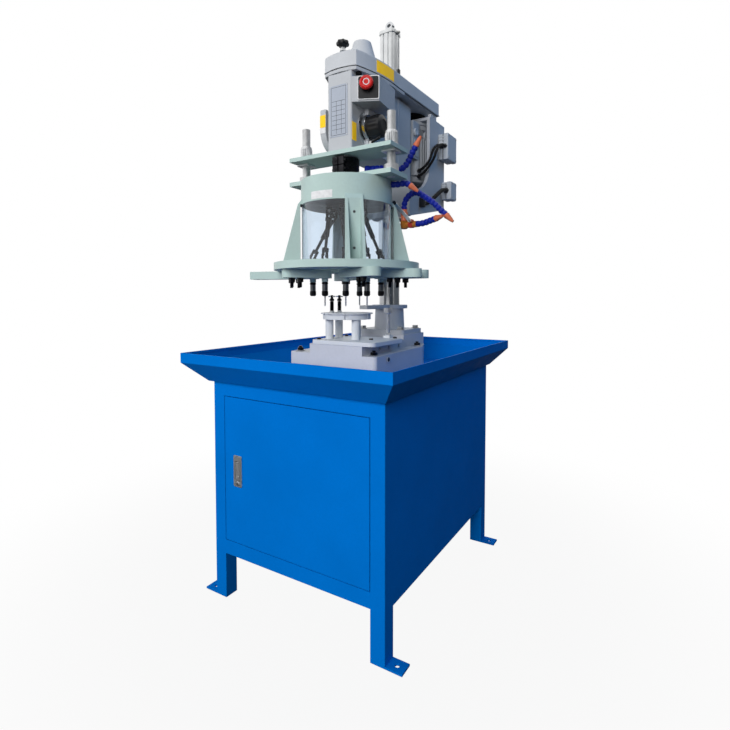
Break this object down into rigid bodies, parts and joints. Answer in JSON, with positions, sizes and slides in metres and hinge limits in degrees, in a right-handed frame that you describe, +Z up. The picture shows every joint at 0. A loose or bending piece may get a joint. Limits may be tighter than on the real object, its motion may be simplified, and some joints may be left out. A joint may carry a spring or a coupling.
{
  "type": "multi-spindle boring machine",
  "caption": "Column drilling machine whose head feeds a cluster of universal-joint spindles down to a round fixture, on a cabinet stand with chip tray and coolant hoses.",
  "frame": {"origin": "on the floor, under the middle of the chip tray", "axes": "+X to the operator's right, +Y to the back, +Z up"},
  "size_m": [0.68, 0.866, 1.8],
  "materials": {
    "blue_paint": "glossy powder coat",
    "lock_zinc": "satin plated",
    "lever_chrome": "polished",
    "base_paint": "satin paint over casting",
    "zinc_steel": "zinc plated",
    "casting_grey": "semi-gloss hammered paint",
    "column_steel": "ground and polished",
    "fixture_steel": "machined",
    "lid_grey": "semi-gloss paint",
    "black_plastic": "moulded",
    "stop_box_paint": "satin paint",
    "stop_red": "moulded",
    "dial_chrome": "satin chrome ring",
    "cylinder_aluminium": "anodised",
    "motor_paint": "semi-gloss paint",
    "bracket_grey": "satin paint",
    "box_grey": "moulded",
    "cable_black": "matt sheath",
    "belt_rubber": "moulded",
    "pulley_iron": "turned",
    "plate_green": "satin paint",
    "bush_steel": "ground",
    "black_oxide": "black oxide",
    "clear_guard": "clear sheet",
    "shaft_steel": "ground",
    "valve_orange": "moulded",
    "hose_blue": "moulded"
  },
  "bodies": {
    "stand": {"stand_frame": "blue_paint", "chip_tray": "blue_paint", "base_casting": "base_paint", "anchor_bolts": "zinc_steel", "column_foot": "casting_grey", "column": "column_steel", "fixture_plate": "fixture_steel", "fixture_table": "fixture_steel", "work_locators": "bush_steel", "head_casting": "casting_grey", "side_cover": "casting_grey", "estop_box": "stop_box_paint", "belt_cover": "lid_grey", "feed_cylinder": "cylinder_aluminium", "motor": "motor_paint", "drive_belt": "belt_rubber", "motor_bracket": "bracket_grey", "terminal_boxes": "box_grey", "motor_cables": "cable_black", "guide_plate": "plate_green", "guide_bushes": "bush_steel"},
    "door": {"cabinet_door": "blue_paint", "door_lock": "lock_zinc"},
    "multi_head": {"quill": "bush_steel", "clamp_coupling": "black_oxide", "gear_housing": "plate_green", "head_top_plate": "plate_green", "guide_posts": "column_steel", "window_guard": "clear_guard", "spindle_arms": "plate_green", "arm_bolts": "zinc_steel", "coolant_fittings": "valve_orange", "coolant_hoses": "hose_blue", "hose_nozzles": "valve_orange"},
    "lock_lever": {"lock_lever": "lever_chrome"},
    "estop_button": {"estop_button": "stop_red"},
    "cover_knob": {"cover_knob": "black_plastic"},
    "feed_dial": {"feed_dial": "dial_chrome"},
    "spindle_pulley": {"spindle_pulley": "pulley_iron"},
    "motor_pulley": {"motor_pulley": "pulley_iron"},
    "valve_lever": {"valve_lever": "zinc_steel"},
    "drive_spindle": {"drive_spindle": "shaft_steel"},
    "gear_shaft_1": {"gear_shaft_1": "shaft_steel"},
    "joint_shaft_1": {"joint_shaft_1": "shaft_steel"},
    "spindle_1": {"spindle_1": "black_oxide"},
    "gear_shaft_2": {"gear_shaft_2": "shaft_steel"},
    "joint_shaft_2": {"joint_shaft_2": "shaft_steel"},
    "spindle_2": {"spindle_2": "black_oxide"},
    "gear_shaft_3": {"gear_shaft_3": "shaft_steel"},
    "joint_shaft_3": {"joint_shaft_3": "shaft_steel"},
    "spindle_3": {"spindle_3": "black_oxide"},
    "gear_shaft_4": {"gear_shaft_4": "shaft_steel"},
    "joint_shaft_4": {"joint_shaft_4": "shaft_steel"},
    "spindle_4": {"spindle_4": "black_oxide"},
    "gear_shaft_5": {"gear_shaft_5": "shaft_steel"},
    "joint_shaft_5": {"joint_shaft_5": "shaft_steel"},
    "spindle_5": {"spindle_5": "black_oxide"},
    "gear_shaft_6": {"gear_shaft_6": "shaft_steel"},
    "joint_shaft_6": {"joint_shaft_6": "shaft_steel"},
    "spindle_6": {"spindle_6": "black_oxide"}
  },
  "joints": [
    {"name": "head_feed", "type": "slide", "parent": "stand", "child": "multi_head", "axis": [0, 0, -1], "range_m": [0, 0.036], "stiffness_N_per_m": 8000, "springref_m": -0.12},
    {"name": "dial_turn", "type": "hinge", "parent": "stand", "child": "feed_dial", "pos_m": [0, -0.0597, 1.37], "axis": [1, 0, 0], "range_deg": [0, 135]},
    {"name": "door_swing", "type": "hinge", "parent": "stand", "child": "door", "pos_m": [0.2325, -0.359, 0.38], "axis": [0, 0, 1], "range_deg": [0, 110]},
    {"name": "lock_lever_pull", "type": "hinge", "parent": "door", "child": "lock_lever", "pos_m": [-0.1905, -0.3635, 0.4018], "axis": [-1, 0, 0], "range_deg": [0, 40]},
    {"name": "estop_press", "type": "slide", "parent": "stand", "child": "estop_button", "axis": [-0.4226, 0.9063, 0], "range_m": [0, 0.005], "stiffness_N_per_m": 800, "springref_m": -0.006},
    {"name": "knob_turn", "type": "hinge", "parent": "stand", "child": "cover_knob", "pos_m": [0, -0.119, 1.595], "axis": [0, 0, 1], "continuous": true},
    {"name": "valve_turn", "type": "hinge", "parent": "multi_head", "child": "valve_lever", "pos_m": [0.16, 0, 1.096], "axis": [0, 1, 0], "range_deg": [0, 90]},
    {"name": "drive_spin", "type": "hinge", "parent": "multi_head", "child": "drive_spindle", "pos_m": [0, -0.1, 1.17], "axis": [0, 0, 1], "continuous": true},
    {"name": "spindle_pulley_spin", "type": "hinge", "parent": "stand", "child": "spindle_pulley", "pos_m": [0, -0.1, 1.54], "axis": [0, 0, 1], "continuous": true},
    {"name": "motor_spin", "type": "hinge", "parent": "stand", "child": "motor_pulley", "pos_m": [0, 0.318, 1.54], "axis": [0, 0, 1], "continuous": true},
    {"name": "gear_1_spin", "type": "hinge", "parent": "multi_head", "child": "gear_shaft_1", "pos_m": [0.03471, -0.05863, 1.112], "axis": [0, 0, 1], "continuous": true},
    {"name": "joint_shaft_1_spin", "type": "hinge", "parent": "multi_head", "child": "joint_shaft_1", "pos_m": [0.0828, -0.0379, 0.988], "axis": [-0.3573, -0.154, 0.9212], "continuous": true},
    {"name": "spindle_1_spin", "type": "hinge", "parent": "multi_head", "child": "spindle_1", "pos_m": [0.0828, -0.0379, 0.988], "axis": [0, 0, 1], "continuous": true},
    {"name": "gear_2_spin", "type": "hinge", "parent": "multi_head", "child": "gear_shaft_2", "pos_m": [-0.01847, -0.04926, 1.112], "axis": [0, 0, 1], "continuous": true},
    {"name": "joint_shaft_2_spin", "type": "hinge", "parent": "multi_head", "child": "joint_shaft_2", "pos_m": [0.0004, -0.0295, 0.988], "axis": [-0.1486, -0.1556, 0.9766], "continuous": true},
    {"name": "spindle_2_spin", "type": "hinge", "parent": "multi_head", "child": "spindle_2", "pos_m": [0.0004, -0.0295, 0.988], "axis": [0, 0, 1], "continuous": true},
    {"name": "gear_3_spin", "type": "hinge", "parent": "multi_head", "child": "gear_shaft_3", "pos_m": [-0.05318, -0.09062, 1.112], "axis": [0, 0, 1], "continuous": true},
    {"name": "joint_shaft_3_spin", "type": "hinge", "parent": "multi_head", "child": "joint_shaft_3", "pos_m": [-0.0966, -0.1413, 0.988], "axis": [0.3083, 0.3599, 0.8806], "continuous": true},
    {"name": "spindle_3_spin", "type": "hinge", "parent": "multi_head", "child": "spindle_3", "pos_m": [-0.0966, -0.1413, 0.988], "axis": [0, 0, 1], "continuous": true},
    {"name": "gear_4_spin", "type": "hinge", "parent": "multi_head", "child": "gear_shaft_4", "pos_m": [-0.03471, -0.14137, 1.112], "axis": [0, 0, 1], "continuous": true},
    {"name": "joint_shaft_4_spin", "type": "hinge", "parent": "multi_head", "child": "joint_shaft_4", "pos_m": [-0.0295, -0.1707, 0.988], "axis": [-0.0409, 0.23, 0.9723], "continuous": true},
    {"name": "spindle_4_spin", "type": "hinge", "parent": "multi_head", "child": "spindle_4", "pos_m": [-0.0295, -0.1707, 0.988], "axis": [0, 0, 1], "continuous": true},
    {"name": "gear_5_spin", "type": "hinge", "parent": "multi_head", "child": "gear_shaft_5", "pos_m": [0.01847, -0.15074, 1.112], "axis": [0, 0, 1], "continuous": true},
    {"name": "joint_shaft_5_spin", "type": "hinge", "parent": "multi_head", "child": "joint_shaft_5", "pos_m": [0.0364, -0.1598, 0.988], "axis": [-0.1427, 0.0721, 0.9871], "continuous": true},
    {"name": "spindle_5_spin", "type": "hinge", "parent": "multi_head", "child": "spindle_5", "pos_m": [0.0364, -0.1598, 0.988], "axis": [0, 0, 1], "continuous": true},
    {"name": "gear_6_spin", "type": "hinge", "parent": "multi_head", "child": "gear_shaft_6", "pos_m": [0.05318, -0.10938, 1.112], "axis": [0, 0, 1], "continuous": true},
    {"name": "joint_shaft_6_spin", "type": "hinge", "parent": "multi_head", "child": "joint_shaft_6", "pos_m": [0.0729, -0.1024, 0.988], "axis": [-0.1568, -0.0555, 0.9861], "continuous": true},
    {"name": "spindle_6_spin", "type": "hinge", "parent": "multi_head", "child": "spindle_6", "pos_m": [0.0729, -0.1024, 0.988], "axis": [0, 0, 1], "continuous": true}
  ],
  "couplings": [
    {"joint": "dial_turn", "follows": "head_feed", "rad_per_m": 62.5},
    {"joint": "spindle_pulley_spin", "follows": "drive_spin", "ratio": 1},
    {"joint": "motor_spin", "follows": "drive_spin", "ratio": 0.82353},
    {"joint": "gear_1_spin", "follows": "drive_spin", "ratio": -2},
    {"joint": "joint_shaft_1_spin", "follows": "drive_spin", "ratio": -2},
    {"joint": "spindle_1_spin", "follows": "drive_spin", "ratio": -2},
    {"joint": "gear_2_spin", "follows": "drive_spin", "ratio": -2},
    {"joint": "joint_shaft_2_spin", "follows": "drive_spin", "ratio": -2},
    {"joint": "spindle_2_spin", "follows": "drive_spin", "ratio": -2},
    {"joint": "gear_3_spin", "follows": "drive_spin", "ratio": -2},
    {"joint": "joint_shaft_3_spin", "follows": "drive_spin", "ratio": -2},
    {"joint": "spindle_3_spin", "follows": "drive_spin", "ratio": -2},
    {"joint": "gear_4_spin", "follows": "drive_spin", "ratio": -2},
    {"joint": "joint_shaft_4_spin", "follows": "drive_spin", "ratio": -2},
    {"joint": "spindle_4_spin", "follows": "drive_spin", "ratio": -2},
    {"joint": "gear_5_spin", "follows": "drive_spin", "ratio": -2},
    {"joint": "joint_shaft_5_spin", "follows": "drive_spin", "ratio": -2},
    {"joint": "spindle_5_spin", "follows": "drive_spin", "ratio": -2},
    {"joint": "gear_6_spin", "follows": "drive_spin", "ratio": -2},
    {"joint": "joint_shaft_6_spin", "follows": "drive_spin", "ratio": -2},
    {"joint": "spindle_6_spin", "follows": "drive_spin", "ratio": -2}
  ]
}
